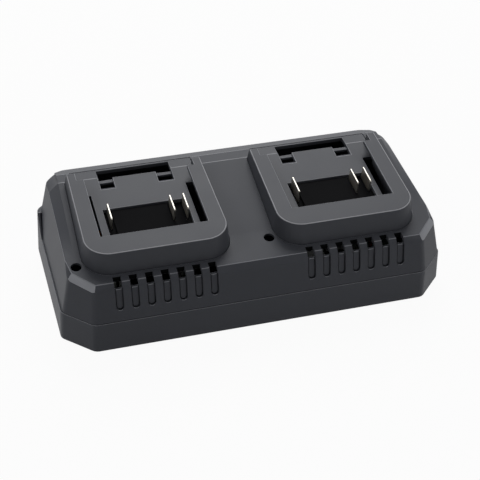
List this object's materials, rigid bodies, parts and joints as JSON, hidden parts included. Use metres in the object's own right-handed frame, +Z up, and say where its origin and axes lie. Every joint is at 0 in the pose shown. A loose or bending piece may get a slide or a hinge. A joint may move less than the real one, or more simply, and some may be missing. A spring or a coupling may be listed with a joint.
{
  "type": "power tool battery charger",
  "caption": "Low two-bay battery charger with raised slide-in docks, flat blades, latch slots, front vents and a rear mains inlet.",
  "frame": {"origin": "middle of the rest plane under the rubber feet", "axes": "+Z up, -Y to the front with the vents, +X to the right, battery packs slide in from +Y"},
  "size_m": [0.2032, 0.1064, 0.0559],
  "materials": {
    "housing_grey": "fine texture",
    "dock_grey": "fine texture",
    "terminal_plastic": "satin",
    "board": "satin",
    "light_pipe": "smoked clear",
    "led": "clear",
    "ferrite": "matt",
    "winding": "taped",
    "capacitor": "sleeve",
    "glassy_ceramic": "glazed",
    "film_capacitor": "smooth",
    "heat_sink": "satin",
    "contact": "bright plated",
    "lead_insulation": "smooth",
    "rubber": "matt",
    "screw": "zinc plated"
  },
  "bodies": {
    "root": {"block_screws": "screw", "board_screws": "screw", "bridge_rectifier": "terminal_plastic", "bulk_capacitor": "capacitor", "control_chip": "terminal_plastic", "dock_screws": "screw", "film_capacitor": "film_capacitor", "fuse": "glassy_ceramic", "housing_screws": "screw", "inlet_pins": "contact", "input_heat_sink": "heat_sink", "left_dock": "dock_grey", "left_light_pipe": "light_pipe", "left_negative_blade": "contact", "left_negative_lead": "lead_insulation", "left_positive_blade": "contact", "left_positive_lead": "lead_insulation", "left_signal_blade": "contact", "left_signal_lead": "lead_insulation", "left_status_led": "led", "left_terminal_block": "terminal_plastic", "line_choke": "winding", "lower_shell": "housing_grey", "main_board": "board", "mains_inlet": "terminal_plastic", "output_capacitors": "capacitor", "output_diode": "terminal_plastic", "output_heat_sink": "heat_sink", "right_dock": "dock_grey", "right_light_pipe": "light_pipe", "right_negative_blade": "contact", "right_negative_lead": "lead_insulation", "right_positive_blade": "contact", "right_positive_lead": "lead_insulation", "right_signal_blade": "contact", "right_signal_lead": "lead_insulation", "right_status_led": "led", "right_terminal_block": "terminal_plastic", "rubber_feet": "rubber", "switching_transistor": "terminal_plastic", "transformer_bobbin": "terminal_plastic", "transformer_core": "ferrite", "transformer_winding": "winding", "upper_shell": "housing_grey"}
  },
  "joints": []
}
